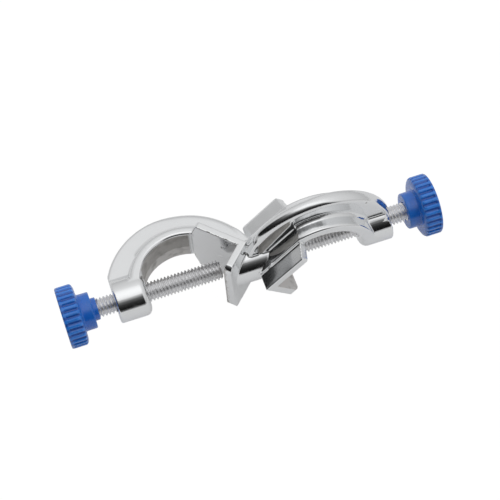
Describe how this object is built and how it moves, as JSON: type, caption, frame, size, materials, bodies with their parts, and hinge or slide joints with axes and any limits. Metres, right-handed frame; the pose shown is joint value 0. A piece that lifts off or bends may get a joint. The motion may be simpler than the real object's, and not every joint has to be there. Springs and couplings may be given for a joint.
{
  "type": "boss head clamp",
  "caption": "Cast double clamp with two C shaped arms at right angles, vee jaws, and screws with blue grooved knobs that hold two crossed rods.",
  "frame": {"origin": "middle of the head, on the common line of both screws, where the backs of the two vee jaws meet", "axes": "+X along the screws from the stand jaw to the cross jaw; the stand rod lies along Z in the jaw on the -X side, whose arm reaches to +Y; the cross rod lies along Y in the jaw on the +X side, whose arm rises to +Z"},
  "size_m": [0.1559, 0.0449, 0.0457],
  "materials": {
    "casting": "polished",
    "stud": "satin",
    "knob": "gloss"
  },
  "bodies": {
    "casting": {"clamp_body": "casting"},
    "stand_screw": {"stand_stud": "stud"},
    "stand_grip": {"stand_knob": "knob"},
    "cross_screw": {"cross_stud": "stud"},
    "cross_grip": {"cross_knob": "knob"}
  },
  "joints": [
    {"name": "stand_travel", "type": "slide", "parent": "casting", "child": "stand_screw", "axis": [1, 0, 0], "range_m": [-0.02963, 0.00423]},
    {"name": "stand_turn", "type": "hinge", "parent": "stand_screw", "child": "stand_grip", "pos_m": [-0.0715, 0, 0], "axis": [1, 0, 0], "range_deg": [-7560, 1080]},
    {"name": "cross_travel", "type": "slide", "parent": "casting", "child": "cross_screw", "axis": [-1, 0, 0], "range_m": [-0.02963, 0.00329]},
    {"name": "cross_turn", "type": "hinge", "parent": "cross_screw", "child": "cross_grip", "pos_m": [0.0715, 0, 0], "axis": [-1, 0, 0], "range_deg": [-7560, 840]}
  ],
  "couplings": [
    {"joint": "stand_turn", "follows": "stand_travel", "rad_per_m": 4452.6},
    {"joint": "cross_turn", "follows": "cross_travel", "rad_per_m": 4452.6}
  ]
}
